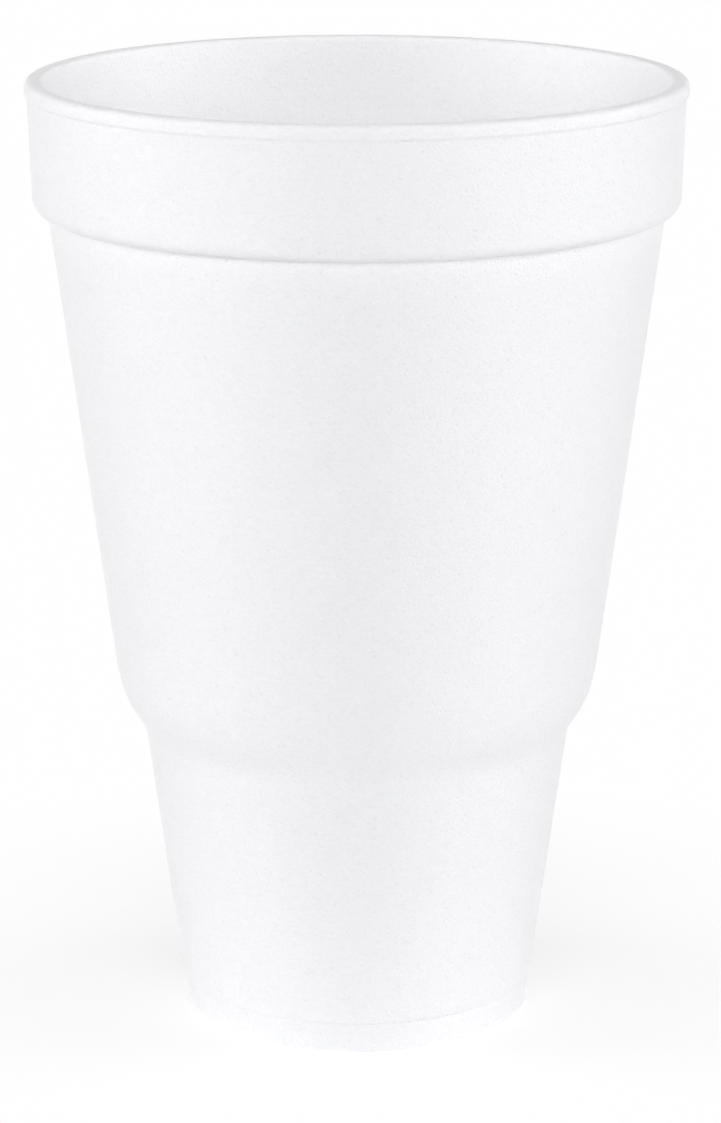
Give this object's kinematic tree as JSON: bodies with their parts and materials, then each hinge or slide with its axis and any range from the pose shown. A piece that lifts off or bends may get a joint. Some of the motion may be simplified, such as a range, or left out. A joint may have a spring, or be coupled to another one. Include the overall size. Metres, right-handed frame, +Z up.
{
  "type": "foam cup",
  "caption": "Tall white foam drinks cup with a rounded rim, a deep collar, a tapered body and a narrower pedestal base for a vehicle's cup holder.",
  "frame": {"origin": "centre of the foot ring, on the surface the cup stands on", "axes": "+Z up along the cup's axis, from the foot to the rim"},
  "size_m": [0.118, 0.118, 0.172],
  "materials": {
    "foam": "white expanded polystyrene, satin skin with a fine grain of fused beads"
  },
  "bodies": {
    "root": {"foam_cup": "foam"}
  },
  "joints": []
}
